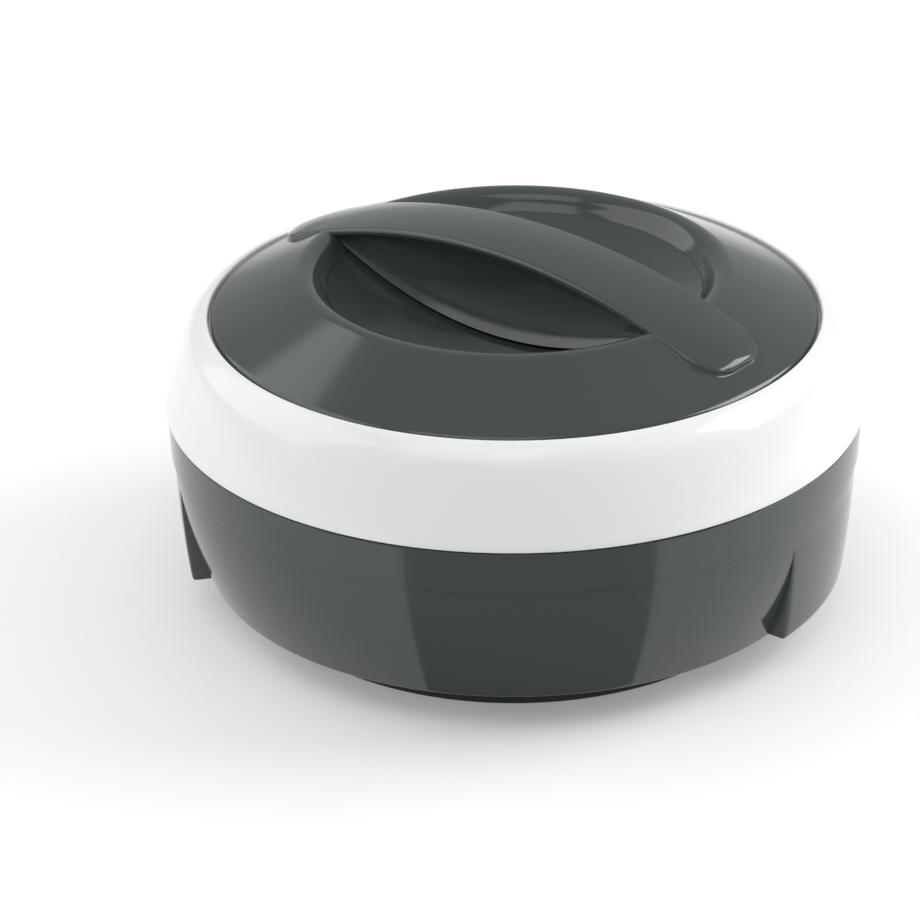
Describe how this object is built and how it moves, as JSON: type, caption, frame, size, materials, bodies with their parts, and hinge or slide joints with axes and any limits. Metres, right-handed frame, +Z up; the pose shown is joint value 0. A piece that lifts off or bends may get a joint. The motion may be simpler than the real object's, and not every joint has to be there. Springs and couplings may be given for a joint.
{
  "type": "insulated casserole",
  "caption": "Round insulated casserole for flat bread with a twist-lock lift-off lid, arched strap handle over a scoop, side grips and a steel liner.",
  "frame": {"origin": "middle of the foot, on the surface it stands on", "axes": "+Z up through the middle of the bowl and lid; +X and -X through the two side grips"},
  "size_m": [0.2496, 0.2496, 0.1391],
  "materials": {
    "grey_plastic": "glossy moulded grey plastic",
    "white_plastic": "glossy moulded white plastic",
    "black_plastic": "fine matt black plastic",
    "collar_plastic": "satin moulded grey plastic",
    "steel_satin": "spun stainless steel",
    "screw_steel": "plain zinc plated steel",
    "seal_rubber": "soft grey silicone",
    "foot_rubber": "black rubber",
    "foam": "rigid insulating foam"
  },
  "bodies": {
    "body": {"outer_shell": "grey_plastic", "base_cover": "black_plastic", "foot_ring": "foot_rubber", "foam_fill_plug": "black_plastic", "base_screws": "screw_steel", "rim_collar": "collar_plastic", "steel_liner": "steel_satin", "body_foam": "foam"},
    "seal": {"lid_seal": "seal_rubber"},
    "lid": {"lid_collar": "collar_plastic", "lid_ring": "white_plastic", "lid_top_cover": "grey_plastic", "scoop_bowl": "grey_plastic", "handle_screws": "screw_steel", "ring_screws": "screw_steel", "lid_inner_dish": "steel_satin", "lid_foam": "foam"}
  },
  "joints": [
    {"name": "lid_lift", "type": "slide", "parent": "body", "child": "seal", "axis": [0, 0, 1], "range_m": [0, 0.09]},
    {"name": "lid_turn", "type": "hinge", "parent": "seal", "child": "lid", "pos_m": [0, 0, 0.084], "axis": [0, 0, 1], "range_deg": [0, 26]}
  ]
}
